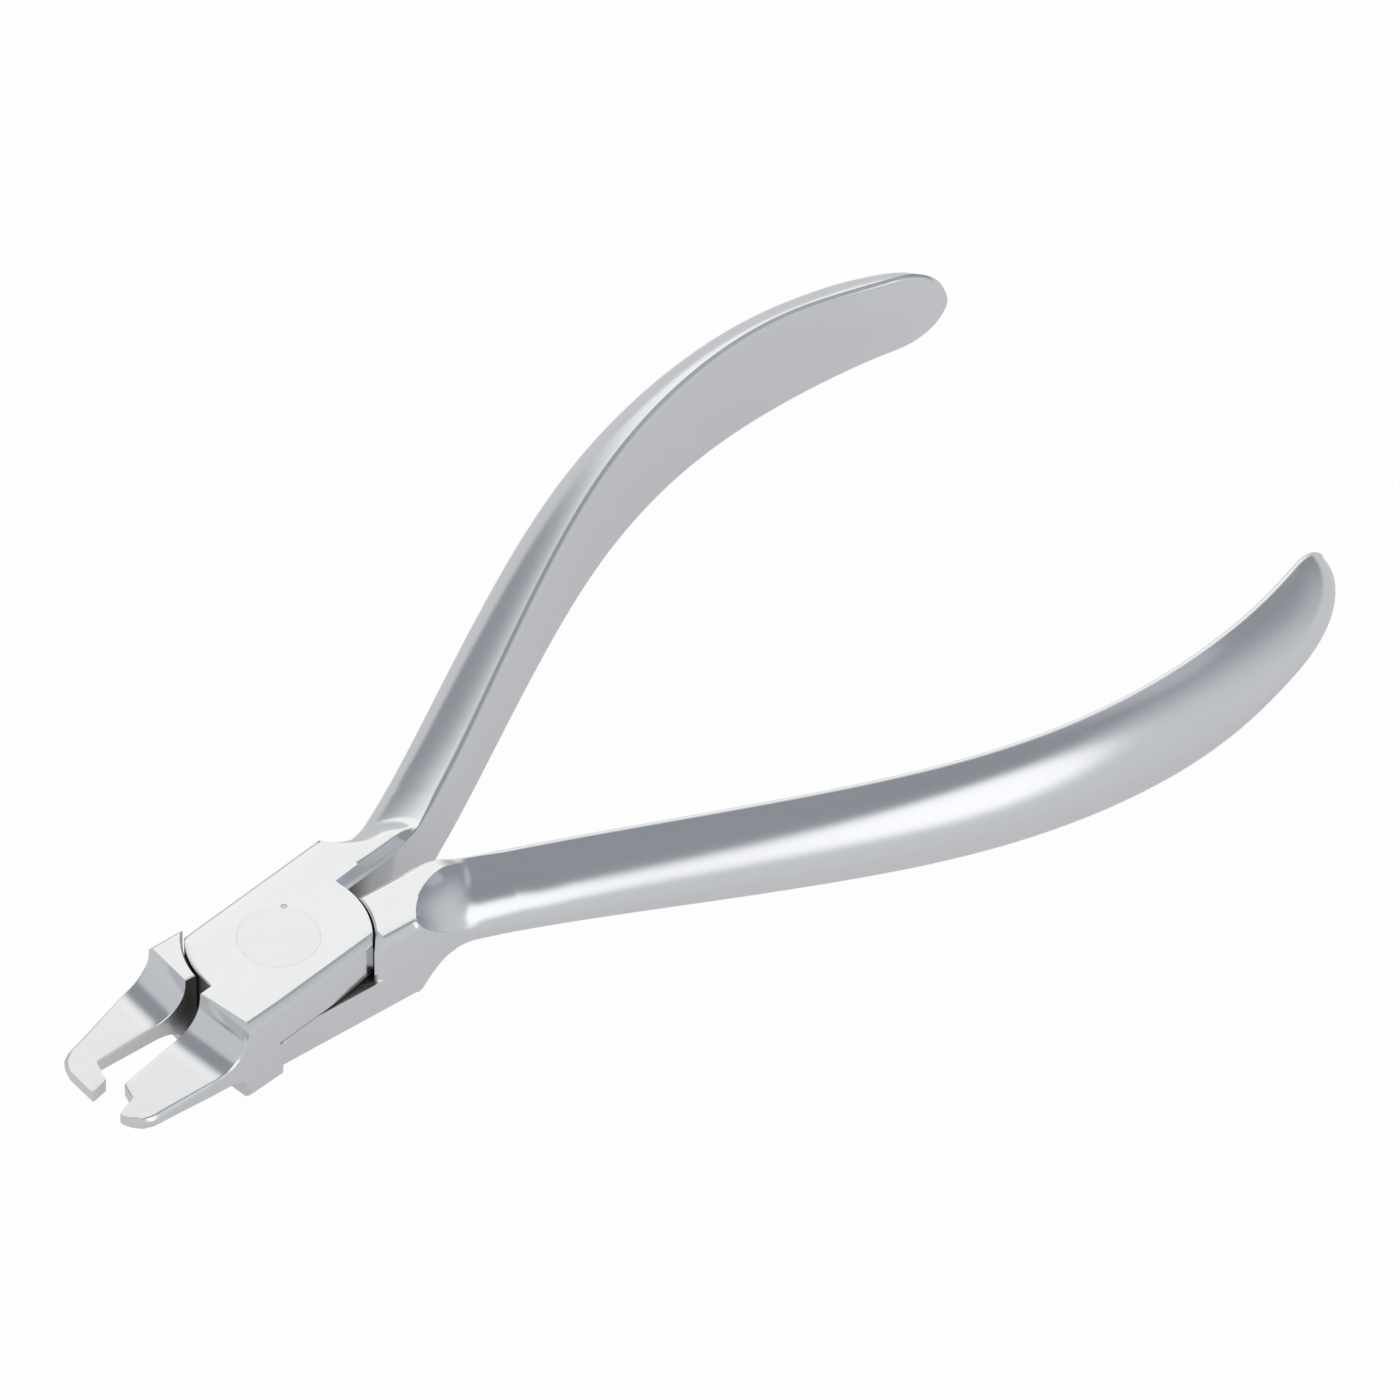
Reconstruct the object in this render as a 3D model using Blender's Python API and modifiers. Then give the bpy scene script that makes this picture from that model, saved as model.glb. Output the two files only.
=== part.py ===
"""Crown crimping pliers, lying flat and partly open.

Two forged halves cross in a half-lap joint, held by a flush rivet and its lock pin.
Each half runs from its jaw blade, through the lap plate, to a D-section handle.
The origin is on the pivot axis, at the joint's underside. +X runs along the handles and +Z is up.
Sizes are in millimetres and angles in degrees. Each half is drawn closed, then turned to its place.
"""
import math

import bmesh
import bpy
import numpy as np
from mathutils import Matrix

MM = 0.001

# Smallest steps of the drawing: points closer than this are one point
MERGE_DISTANCE = 0.002
SLOPE_STEP = 0.001

# Pose: the angle between the two halves, which is 0 when the jaws meet
OPEN_ANGLE = 8.3

# Joint: each half has a lap plate with round ends, in a recess of the other half
THICKNESS = 9.75
JOINT_HALF_WIDTH = 6.75
PLATE_RADIUS = 8.95
ARC_CLEARANCE = 0.2
LAP_CLEARANCE = 0.2
LONG_EDGE_CHAMFER = 0.85
ARC_EDGE_CHAMFER = 0.1

# Rivet and lock pin
RIVET_HEAD_RADIUS = 4.0
RIVET_SHANK_RADIUS = 2.5
RIVET_HEAD_DEPTH = 1.6
RIVET_CLEARANCE = 0.08
PIN_RADIUS = 0.3
PIN_LENGTH = 2.4
PIN_ANGLE = 38.0
PIN_CLEARANCE = 0.04

# Jaws: the block in front of the lap plate, then its scoop and the thin blade, each with its own length
BLOCK_LENGTH = 1.45
BLOCK_HALF_WIDTH = 6.6
JAW_SCOOP_LENGTH = 3.3
BLADE_ROOT_HALF_THICKNESS = 0.95
BLADE_TIP_HALF_THICKNESS = 0.64
BLADE_LENGTH = 10.15
BLADE_OUTER_CHAMFER = 0.4
BLADE_INNER_CHAMFER = 0.1

# Root of the handle: a block with a bevelled strip along its inner side, and a round scoop in its outer side.
# The scoop's centre is that far behind the lap plate and outside the joint's side.
ROOT_INNER_OFFSET = 0.25
STRIP_WIDTH = 1.1
STRIP_SLOPE = 0.65
STRIP_FLARE = 0.065
SCOOP_BACK = 9.85
SCOOP_SIDE = 3.35
SCOOP_RADIUS = 8.13
SCOOP_DEPTH = 3.5
SCOOP_REACH = 3.0
SCOOP_FLOOR_SLOPE = 0.45
ROOT_FADE_START = 7.85
ROOT_FADE = 0.12
ROOT_BLEND = 0.35
CROWN_START = 7.05

# Handle: its inner face in plan as x and y, and its half height and width along x
HANDLE_LINE = [(13.0, 0.25), (16.6, 0.35), (20.3, 1.35), (25.0, 3.2), (36.7, 8.58), (51.3, 15.42),
               (65.7, 21.05), (79.9, 23.87), (91.9, 23.47), (100.8, 21.25), (110.5, 17.7)]
HANDLE_HALF_HEIGHT = [(9.0, 3.9), (20.0, 4.05), (36.0, 4.65), (60.0, 5.65), (81.0, 6.15), (94.0, 5.9),
                      (105.0, 4.9), (112.0, 4.9)]
HANDLE_WIDTH = [(9.0, 6.5), (26.0, 6.3), (55.0, 5.85), (85.0, 5.4), (98.0, 5.35), (113.0, 4.9)]
END_ROUND_LENGTH = 5.2
END_TAPER_LENGTH = 11.0
END_TAPER_POWER = 2.1
CROWN_FULLNESS = 0.74
HANDLE_EDGE_ROUND = 0.55

# An edge takes at most this share of its section's width, or of the handle's height
EDGE_WIDTH_SHARE = 0.4
EDGE_HEIGHT_SHARE = 0.3

# How far the cutters run past the faces they cut
CUTTER_OVERSHOOT = 1.0

# Cross sections along the root, as distances behind the lap plate, and how they crowd to the handle's end
ROOT_SECTIONS = (0.1, 1.35, 2.35, 2.45, 2.65, 2.95, 3.35, 3.85, 4.45, 5.25, 6.15, 7.15, 8.15, 9.05, 9.85,
                 10.65, 11.55, 12.55, 13.85, 15.45)
ROOT_LENGTH = 12.0
SECTION_CROWDING = 2.2

# How far the lap plate's first section leans back at its near side, so that no two sections cross
SECTION_LEAN = 0.6

# Number of facets
ARC_STEPS = 10
HANDLE_STEPS = 26
TOP_STEPS = 10
JAW_SCOOP_STEPS = 6
FLAT_SPREAD = (0.3, 0.65, 1.0)
SCOOP_SPREAD = (0.06, 0.16, 0.32, 0.55, 0.78, 1.0)
ROUND_STEPS = 64
PIN_STEPS = 16

# Faces within the flat angle are joined, and edges above the sharp angle are shaded as creases
FLAT_ANGLE = 0.05
SHARP_ANGLE = 32.0

HALF_THICKNESS = THICKNESS / 2
RECESS_RADIUS = PLATE_RADIUS + ARC_CLEARANCE
CORNER_ANGLE = math.asin(JOINT_HALF_WIDTH / PLATE_RADIUS)
BLOCK_REACH = PLATE_RADIUS + BLOCK_LENGTH
BLADE_REACH = BLOCK_REACH + JAW_SCOOP_LENGTH + BLADE_LENGTH
SCOOP_CENTRE = (PLATE_RADIUS + SCOOP_BACK, JOINT_HALF_WIDTH + SCOOP_SIDE)
ROOT_XS = [PLATE_RADIUS + behind for behind in ROOT_SECTIONS]

# Outlines of a unit edge as (across, down) points: a flat chamfer, and a round
CHAMFER = ((0.0, 1.0), (1 / 3, 2 / 3), (2 / 3, 1 / 3))
ROUND = ((0.0, 1.0), (0.134, 0.5), (0.5, 0.134))


def spline(points):
    """Return a natural cubic curve through (x, y) points, as a function of x."""
    x, y = np.array(points, dtype=float).T
    step = np.diff(x)
    slope = np.diff(y) / step
    count = len(x)
    matrix = np.eye(count)
    target = np.zeros(count)
    for i in range(1, count - 1):
        matrix[i, i - 1:i + 2] = step[i - 1], 2 * (step[i - 1] + step[i]), step[i]
        target[i] = 6 * (slope[i] - slope[i - 1])
    bend = np.linalg.solve(matrix, target)

    def value(at):
        i = int(np.clip(np.searchsorted(x, at) - 1, 0, count - 2))
        left, right = at - x[i], x[i + 1] - at
        cubic = (bend[i] * right ** 3 + bend[i + 1] * left ** 3) / (6 * step[i])
        near = (y[i] / step[i] - bend[i] * step[i] / 6) * right
        far = (y[i + 1] / step[i] - bend[i + 1] * step[i] / 6) * left
        return cubic + near + far

    return value


def ramp(points):
    """Return straight runs through (x, y) points, as a function of x."""
    x, y = np.array(sorted(points), dtype=float).T
    return lambda at: float(np.interp(at, x, y))


handle_inner = spline(HANDLE_LINE)
handle_height = spline(HANDLE_HALF_HEIGHT)
handle_width = ramp(HANDLE_WIDTH)
crown_share = ramp([(PLATE_RADIUS + CROWN_START, 0.0), (ROOT_XS[-3], 1.0)])
edge_share = ramp([(SCOOP_CENTRE[0], 0.0), (ROOT_XS[-1], 1.0)])
block_y = ramp([(-BLOCK_REACH, -BLOCK_HALF_WIDTH),
                (-PLATE_RADIUS * math.cos(CORNER_ANGLE), -JOINT_HALF_WIDTH)])


def jaw_half_height(x):
    """Return the half height of the jaw at x: the blade, then the hollow scoop up to the block."""
    scoop_end = -BLOCK_REACH - JAW_SCOOP_LENGTH
    if x > scoop_end:
        share = min(max((-BLOCK_REACH - x) / JAW_SCOOP_LENGTH, 0.0), 1.0)
        depth = HALF_THICKNESS - BLADE_ROOT_HALF_THICKNESS
        return HALF_THICKNESS - depth * math.sqrt(1 - (1 - share) ** 2)
    share = (scoop_end - x) / (scoop_end + BLADE_REACH)
    return BLADE_ROOT_HALF_THICKNESS + share * (BLADE_TIP_HALF_THICKNESS - BLADE_ROOT_HALF_THICKNESS)


def scoop_run(x, y):
    """Return how far a point is inside the rim of the root's scoop, or a negative distance outside it."""
    centre_x, centre_y = SCOOP_CENTRE
    return SCOOP_RADIUS - math.hypot(min(x - centre_x, 0), min(y - centre_y, 0))


def strip_edge(x):
    """Return y of the outer edge of the bevelled strip at x."""
    return ROOT_INNER_OFFSET + STRIP_WIDTH + STRIP_FLARE * (x - PLATE_RADIUS)


def root_half_height(x, y):
    """Return the half height of the block behind the joint, with its inner strip and round scoop."""
    run = scoop_run(x, y)
    share = min(max(run / SCOOP_REACH, 0.0), 1.0)
    hollow = SCOOP_DEPTH * (1 - (1 - share) ** 2) + SCOOP_FLOOR_SLOPE * max(run - SCOOP_REACH, 0)
    strip = STRIP_SLOPE * max(strip_edge(x) - y, 0)
    fade = ROOT_FADE * max(x - PLATE_RADIUS - ROOT_FADE_START, 0) ** 2
    return HALF_THICKNESS - max(hollow, strip) - fade


def crown_half_height(share, height):
    """Return the half height of the D section at a share of its width from the inner face."""
    return height * math.sqrt(max(1 - share ** (1 / CROWN_FULLNESS), 0))


def soft_max(a, b):
    """Return the larger of two heights, rounded where they meet."""
    mix = max(ROOT_BLEND - abs(a - b), 0)
    return max(a, b) + mix * mix / (4 * ROOT_BLEND)


class Station:
    """One cross section of a half: a flat cut from its near side point to its far side point."""

    def __init__(self, near, far, edges, height, profile=CHAMFER, anchors=None):
        self.near = np.array(near, dtype=float)
        self.far = np.array(far, dtype=float)
        self.width = float(np.linalg.norm(self.far - self.near))
        self.near_edge, self.far_edge = (min(edge, EDGE_WIDTH_SHARE * self.width) for edge in edges)
        self.height = height
        self.profile = profile
        self.anchors = np.linspace(0, 1, TOP_STEPS + 1) if anchors is None else anchors

    def ring(self):
        """Return the closed ring of points of this section, as x, y and z in millimetres."""
        near_top = self.height(0.0)
        far_top = self.height(1.0)
        top = [(0.0, 0.0)]
        top += [(across * self.near_edge, near_top - down * self.near_edge) for across, down in self.profile]
        span = self.width - self.near_edge - self.far_edge
        for anchor in self.anchors:
            across = self.near_edge + anchor * span
            top.append((across, self.height(across / self.width)))
        if far_top > self.far_edge:
            top[-1] = (self.width - self.far_edge, far_top)
            top += [(self.width - across * self.far_edge, far_top - down * self.far_edge)
                    for across, down in reversed(CHAMFER)]
            top.append((self.width, 0.0))
        else:
            top[-1] = (self.width, 0.0)
            top += [(self.width, 0.0)] * 4
        ring = top + [(across, -z) for across, z in reversed(top[1:-1])]
        along = (self.far - self.near) / self.width
        return [(*(self.near + along * across), z) for across, z in ring]


def jaw_stations(form):
    """Return the sections of a jaw from its tip to the joint."""
    root_x = -BLOCK_REACH - JAW_SCOOP_LENGTH
    pairs = [((back - BLADE_REACH, outer), (inner_back - BLADE_REACH, inner), BLADE_OUTER_CHAMFER)
             for back, outer, inner_back, inner in form["tip"]]
    outer_root, inner_root = form["root"]
    for share in np.linspace(0, 1, JAW_SCOOP_STEPS + 1):
        # Closer sections towards the block, where the scoop is steep
        near_block = 1 - (1 - share) ** 2
        x = root_x + near_block * JAW_SCOOP_LENGTH
        outer = outer_root + near_block * (-BLOCK_HALF_WIDTH - outer_root)
        inner = inner_root + near_block * (form["block_inner"] - inner_root)
        chamfer = BLADE_OUTER_CHAMFER + near_block * (LONG_EDGE_CHAMFER - BLADE_OUTER_CHAMFER)
        pairs.append(((x, outer), (x, inner), chamfer))
    made = []
    for near, far, chamfer in pairs:
        height = (lambda share, a=near[0], b=far[0]: jaw_half_height(a + share * (b - a)))
        made.append(Station(near, far, (chamfer, BLADE_INNER_CHAMFER), height))
    return made


def joint_stations(form):
    """Return the sections of the lap plate, whose front and rear ends are arcs about the pivot."""
    half_width = JOINT_HALF_WIDTH
    corner_x = math.sqrt(PLATE_RADIUS ** 2 - half_width ** 2)
    start = math.pi - math.asin(form["block_inner"] / PLATE_RADIUS)
    end = math.pi - CORNER_ANGLE
    near_start = SECTION_LEAN - PLATE_RADIUS
    pairs = []
    for share in np.linspace(0, 1, ARC_STEPS + 1):
        angle = start + share * (end - start)
        near_x = near_start + share * (-corner_x - near_start)
        far = (PLATE_RADIUS * math.cos(angle), PLATE_RADIUS * math.sin(angle))
        pairs.append(((near_x, block_y(near_x)), far, (LONG_EDGE_CHAMFER, ARC_EDGE_CHAMFER)))
    for x in (-corner_x / 2, 0.0, corner_x / 2):
        pairs.append(((x, -half_width), (x, half_width), (LONG_EDGE_CHAMFER, LONG_EDGE_CHAMFER)))
    rear = math.asin(ROOT_INNER_OFFSET / PLATE_RADIUS)
    for share in np.linspace(0, 1, ARC_STEPS + 1):
        angle = -CORNER_ANGLE + share * (rear + CORNER_ANGLE)
        near = (PLATE_RADIUS * math.cos(angle), PLATE_RADIUS * math.sin(angle))
        far_x = corner_x + share * (PLATE_RADIUS - corner_x)
        pairs.append((near, (far_x, half_width), (ARC_EDGE_CHAMFER, LONG_EDGE_CHAMFER)))
    return [Station(near, far, edges, lambda share: HALF_THICKNESS) for near, far, edges in pairs]


def rim_share(near, far):
    """Return the share of a section, from its inner side, at which the scoop's rim crosses it."""
    low, high = 0.0, 1.0
    for _ in range(40):
        middle = (low + high) / 2
        if scoop_run(*(near + (far - near) * middle)) > 0:
            high = middle
        else:
            low = middle
    return low


def handle_stations(handle_end):
    """Return the sections of the root block and the handle, to its round end."""
    taper = 1 - (1 - np.linspace(0, 1, HANDLE_STEPS + 1)[1:-1]) ** SECTION_CROWDING
    handle = ROOT_XS[-1] + (handle_end - ROOT_XS[-1]) * taper
    crown_anchors = np.sin(np.linspace(0, math.pi / 2, TOP_STEPS + 1)) ** (2 * CROWN_FULLNESS)
    stations = []
    for x in [*ROOT_XS, *handle]:
        inner = max(handle_inner(x), ROOT_INNER_OFFSET)
        slope = (max(handle_inner(x + SLOPE_STEP), ROOT_INNER_OFFSET) - inner) / SLOPE_STEP
        normal = np.array((-slope, 1.0)) / math.hypot(slope, 1)
        end_share = max(x - handle_end + END_ROUND_LENGTH, 0) / END_ROUND_LENGTH
        taper_share = max(x - handle_end + END_TAPER_LENGTH, 0) / END_TAPER_LENGTH
        height = handle_height(x) * math.sqrt(1 - end_share ** 2)
        root_share = min(max((x - PLATE_RADIUS) / ROOT_LENGTH, 0), 1)
        block_width = JOINT_HALF_WIDTH - ROOT_INNER_OFFSET
        width = block_width + root_share * (handle_width(x) - block_width)
        width *= (1 - taper_share ** END_TAPER_POWER) ** (1 / END_TAPER_POWER)
        near = np.array((x, inner))
        far = near + normal * width

        def surface(share, near=near, far=far, height=height):
            place = near + (far - near) * share
            crown = crown_half_height(share, height)
            block = root_half_height(place[0], place[1])
            return soft_max(crown, block) if block > 0 else crown

        # The rim of the scoop and the edge of the strip each keep one point of every section in the block
        rim = rim_share(near, far)
        strip = min(max((strip_edge(x) - inner) / width, 0.0), rim / 2)
        block_anchors = [0.0, strip, *(strip + (rim - strip) * at for at in FLAT_SPREAD),
                         *(rim + (1 - rim) * at for at in SCOOP_SPREAD)]
        crown = crown_share(x)
        anchors = (1 - crown) * np.array(block_anchors) + crown * crown_anchors
        far_edge = max(LONG_EDGE_CHAMFER - HALF_THICKNESS + surface(1.0), ARC_EDGE_CHAMFER)
        near_edge = ARC_EDGE_CHAMFER + edge_share(x) * (HANDLE_EDGE_ROUND - ARC_EDGE_CHAMFER)
        edges = (min(near_edge, EDGE_HEIGHT_SHARE * height), far_edge)
        stations.append(Station(near, far, edges, surface, ROUND, anchors))
    return stations


def loft(name, rings):
    """Make a closed mesh object through rings of equally many points."""
    mesh = bpy.data.meshes.new(name)
    body = bmesh.new()
    rows = [[body.verts.new([c * MM for c in point]) for point in ring] for ring in rings]
    count = len(rows[0])
    for row, following in zip(rows, rows[1:]):
        for i in range(count):
            j = (i + 1) % count
            body.faces.new((row[i], row[j], following[j], following[i]))
    body.faces.new(reversed(rows[0]))
    body.faces.new(rows[-1])
    bmesh.ops.remove_doubles(body, verts=body.verts, dist=MERGE_DISTANCE * MM)
    bmesh.ops.dissolve_degenerate(body, edges=body.edges, dist=MERGE_DISTANCE * MM / 2)
    bmesh.ops.recalc_face_normals(body, faces=body.faces)
    bmesh.ops.dissolve_limit(body, angle_limit=math.radians(FLAT_ANGLE), verts=body.verts, edges=body.edges)
    body.to_mesh(mesh)
    body.free()
    return bpy.data.objects.new(name, mesh)


# Each tip row: distance back from the tip and y of the outer side, then the same of the inner side
NOTCHED_HALF = {
    "tip": [(0.05, -3.5, 0.0, -2.86), (0.35, -4.5, 0.4, -2.74), (0.9, -5.25, 1.15, -2.53),
            (1.8, -5.65, 2.0, -2.29), (2.25, -5.72, 2.25, -2.12), (2.35, -5.74, 2.35, -1.75),
            (2.7, -5.78, 2.78, -0.62), (3.0, -5.82, 3.05, -0.42)],
    "root": (-6.7, -0.05),
    "block_inner": 0.0,
    "handle_end": 109.7,
}
HOOKED_HALF = {
    "tip": [(0.15, -1.4, 0.2, 2.56), (0.3, -2.1, 0.6, 2.52), (0.65, -2.7, 1.2, 2.34),
            (1.5, -3.25, 2.0, 2.1), (1.8, -3.36, 2.16, 1.9), (2.1, -3.45, 2.55, 0.55),
            (2.5, -3.56, 2.65, 0.05), (2.8, -3.66, 2.8, -0.33), (3.2, -3.78, 3.1, -0.36)],
    "root": (-6.0, -0.6),
    "block_inner": -0.7,
    "handle_end": 112.3,
}


def steel(name, colour, roughness):
    """Make a metal material."""
    material = bpy.data.materials.new(name)
    material.use_nodes = True
    shader = material.node_tree.nodes["Principled BSDF"]
    shader.inputs["Base Color"].default_value = (*colour, 1)
    shader.inputs["Metallic"].default_value = 1.0
    shader.inputs["Roughness"].default_value = roughness
    return material


def turned(name, profile):
    """Make a solid of revolution about Z from its (radius, height) profile, top to bottom."""
    mesh = bpy.data.meshes.new(name)
    edges = [(i, i + 1) for i in range(len(profile) - 1)]
    mesh.from_pydata([(radius * MM, 0, height * MM) for radius, height in profile], edges, [])
    body = bpy.data.objects.new(name, mesh)
    screw = body.modifiers.new("turn", "SCREW")
    screw.steps = screw.render_steps = ROUND_STEPS
    screw.use_merge_vertices = True
    screw.merge_threshold = MERGE_DISTANCE * MM
    return body


def rod(name, radius, bottom, top, steps):
    """Make a round rod along Z."""
    mesh = bpy.data.meshes.new(name)
    body = bmesh.new()
    bmesh.ops.create_cone(body, cap_ends=True, segments=steps, radius1=radius * MM, radius2=radius * MM,
                          depth=(top - bottom) * MM,
                          matrix=Matrix.Translation((0, 0, (top + bottom) / 2 * MM)))
    body.to_mesh(mesh)
    body.free()
    return bpy.data.objects.new(name, mesh)


def rivet_profile(clearance, overshoot):
    """Return the outline of the rivet, or of its bore with a clearance that runs past both faces."""
    head = RIVET_HEAD_RADIUS + clearance
    shank = RIVET_SHANK_RADIUS + clearance
    neck = HALF_THICKNESS - RIVET_HEAD_DEPTH
    top = [(0.0, HALF_THICKNESS + overshoot), (head, HALF_THICKNESS + overshoot)]
    if overshoot:
        top.append((head, HALF_THICKNESS))
    top.append((shank, neck))
    return top + [(radius, -height) for radius, height in reversed(top)]


def place(body, collection, parent):
    """Add an object to its collection, hung from an empty."""
    collection.objects.link(body)
    body.parent = parent
    return body


def make_cutter(body, collection, parent):
    """Set an object up as a cutter."""
    place(body, collection, parent)
    body.hide_render = True
    body.display_type = "WIRE"
    return body


def cut(body, cutter):
    """Cut one solid from another."""
    boolean = body.modifiers.new("cut " + cutter.name, "BOOLEAN")
    boolean.operation = "DIFFERENCE"
    boolean.solver = "EXACT"
    boolean.object = cutter


def make_half(name, form, pivot, parts, cutters, material):
    """Make one forged half, with its lap recess and rivet bore."""
    stations = jaw_stations(form) + joint_stations(form) + handle_stations(form["handle_end"])
    half = place(loft(name, [station.ring() for station in stations]), parts, pivot)
    half.data.materials.append(material)
    half.data.shade_smooth()
    half.data.set_sharp_from_angle(angle=math.radians(SHARP_ANGLE))
    recess = make_cutter(rod(name + "_recess", RECESS_RADIUS, -THICKNESS, LAP_CLEARANCE / 2, ROUND_STEPS),
                         cutters, pivot)
    # Half a facet of turn keeps the cutter's corners off the jaw's flat inner face
    recess.rotation_euler = (0, 0, math.pi / ROUND_STEPS)
    bore_profile = rivet_profile(RIVET_CLEARANCE, CUTTER_OVERSHOOT)
    bore = make_cutter(turned(name + "_bore", bore_profile), cutters, pivot)
    cut(half, recess)
    cut(half, bore)
    return half


def main():
    for old in list(bpy.data.objects):
        bpy.data.objects.remove(old)
    scene = bpy.context.scene
    parts = bpy.data.collections.new("crown_crimping_pliers")
    cutters = bpy.data.collections.new("cutters")
    scene.collection.children.link(parts)
    scene.collection.children.link(cutters)

    forged = steel("satin stainless steel", (0.72, 0.73, 0.75), 0.28)
    ground = steel("ground rivet steel", (0.74, 0.74, 0.75), 0.32)
    pin_steel = steel("pin steel", (0.55, 0.55, 0.57), 0.35)

    # The upper half hangs as drawn, and the lower one is turned over about the long axis
    upper_pivot = bpy.data.objects.new("upper_pivot", None)
    upper_pivot.location = (0, 0, HALF_THICKNESS * MM)
    upper_pivot.rotation_euler = (0, 0, math.radians(OPEN_ANGLE / 2))
    lower_pivot = bpy.data.objects.new("lower_pivot", None)
    lower_pivot.location = (0, 0, HALF_THICKNESS * MM)
    lower_pivot.rotation_euler = (math.pi, 0, math.radians(-OPEN_ANGLE / 2))
    for pivot in (upper_pivot, lower_pivot):
        scene.collection.objects.link(pivot)

    upper = make_half("upper_half", NOTCHED_HALF, upper_pivot, parts, cutters, forged)
    make_half("lower_half", HOOKED_HALF, lower_pivot, parts, cutters, forged)

    rivet = place(turned("pivot_rivet", rivet_profile(0, 0)), parts, upper_pivot)
    rivet.data.materials.append(ground)

    # The lock pin stands across the rivet's rim, in a hole shared by the rivet and the upper half
    angle = math.radians(PIN_ANGLE)
    pin_place = (RIVET_HEAD_RADIUS * math.cos(angle) * MM, RIVET_HEAD_RADIUS * math.sin(angle) * MM, 0)
    pin = place(rod("lock_pin", PIN_RADIUS, HALF_THICKNESS - PIN_LENGTH, HALF_THICKNESS, PIN_STEPS),
                parts, upper_pivot)
    pin.data.materials.append(pin_steel)
    pin_bottom = HALF_THICKNESS - PIN_LENGTH - PIN_CLEARANCE
    pin_hole = make_cutter(rod("pin_hole", PIN_RADIUS + PIN_CLEARANCE, pin_bottom,
                               HALF_THICKNESS + CUTTER_OVERSHOOT, PIN_STEPS), cutters, upper_pivot)
    pin.location = pin_hole.location = pin_place
    cut(upper, pin_hole)
    cut(rivet, pin_hole)


main()
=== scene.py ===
"""Crown crimping pliers in satin stainless steel, lying partly open on a pale studio floor."""

import math

import bmesh
import bpy
import numpy as np
from mathutils import Matrix, Vector


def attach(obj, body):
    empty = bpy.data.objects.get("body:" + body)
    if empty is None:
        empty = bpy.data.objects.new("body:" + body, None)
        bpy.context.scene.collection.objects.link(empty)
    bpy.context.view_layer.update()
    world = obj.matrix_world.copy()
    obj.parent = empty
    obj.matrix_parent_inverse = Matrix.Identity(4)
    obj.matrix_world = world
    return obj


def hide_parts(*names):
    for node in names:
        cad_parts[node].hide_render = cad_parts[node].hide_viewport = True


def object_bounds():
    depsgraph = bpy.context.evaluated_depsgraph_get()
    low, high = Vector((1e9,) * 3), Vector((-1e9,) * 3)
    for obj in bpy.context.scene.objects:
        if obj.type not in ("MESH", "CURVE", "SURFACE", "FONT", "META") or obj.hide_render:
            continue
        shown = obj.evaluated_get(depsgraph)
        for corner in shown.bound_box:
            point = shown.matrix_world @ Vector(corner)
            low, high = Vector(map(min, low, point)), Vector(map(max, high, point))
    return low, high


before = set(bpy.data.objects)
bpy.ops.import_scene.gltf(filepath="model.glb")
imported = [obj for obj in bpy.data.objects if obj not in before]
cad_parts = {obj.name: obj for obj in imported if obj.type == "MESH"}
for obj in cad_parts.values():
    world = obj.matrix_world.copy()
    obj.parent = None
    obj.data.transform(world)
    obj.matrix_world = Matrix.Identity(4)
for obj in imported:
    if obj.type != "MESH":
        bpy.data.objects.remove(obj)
cad_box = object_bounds()

# Camera and studio
# A long lens looks down on the pliers from the side of the jaws, so the handles run away to the right.
# They lie on a white table in a pale room, and the steel mirrors the room's soft panels, dim and bright.
LOOK_AT = Vector((0.05378, 0.00078, 0.004875))
VIEW_AZIMUTH = math.radians(41.324)
VIEW_ELEVATION = math.radians(45.605)
VIEW_DISTANCE = 1.98758
LENS = 532.46
ROOM_SHADE = (0.643, 0.661, 0.697)
# Each soft panel: the plan direction of its middle, its reach along x and y, and its shade
PANELS = [
    ((0.24, 0.4), (1.25, 1.15), (0.3, 0.32, 0.355)),
    ((0.08, -0.3), (0.34, 0.22), (0.29, 0.31, 0.34)),
    ((-0.48, 0.0), (0.4, 0.42), (0.86, 0.88, 0.9)),
    ((-0.62, 0.52), (0.42, 0.36), (0.62, 0.64, 0.67)),
    ((0.5, -0.12), (0.2, 0.26), (0.5, 0.52, 0.56)),
    ((-0.035, -0.72), (0.33, 0.27), (1.22, 1.23, 1.25)),
    ((0.565, 0.745), (0.375, 0.5), (1.1, 1.11, 1.1)),
]
# Shares of its reach up to which a panel has its full shade, and at which it has gone
PANEL_CORE = 0.6
PANEL_EDGE = 1.08
TABLE_COLOUR = (0.9, 0.9, 0.9)
# How white the table shows to the camera, and how much of that whiteness the steel mirrors
TABLE_GLOW_SEEN = 0.97
TABLE_GLOW_MIRRORED = 0.26
TABLE_HALF_SIZE = 6.0


def wire(tree, value, socket):
    """Link a node's output to an input, or set the input to a plain value."""
    if isinstance(value, bpy.types.NodeSocket):
        tree.links.new(value, socket)
    else:
        socket.default_value = value


def add_node(tree, kind, values=(), **settings):
    """Add a node with its settings, and wire its inputs by name or number."""
    node = tree.nodes.new(kind)
    for name, value in settings.items():
        setattr(node, name, value)
    for key, value in dict(values).items():
        wire(tree, value, node.inputs[key])
    return node


forward = Vector((math.sin(VIEW_AZIMUTH) * math.cos(VIEW_ELEVATION),
                  math.cos(VIEW_AZIMUTH) * math.cos(VIEW_ELEVATION), -math.sin(VIEW_ELEVATION)))
camera = bpy.data.objects.new("camera", bpy.data.cameras.new("camera"))
camera.data.lens = LENS
camera.location = LOOK_AT - forward * VIEW_DISTANCE
camera.rotation_euler = forward.to_track_quat("-Z", "Y").to_euler()
bpy.context.scene.collection.objects.link(camera)
bpy.context.scene.camera = camera
bpy.context.scene.view_settings.view_transform = "Standard"

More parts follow.
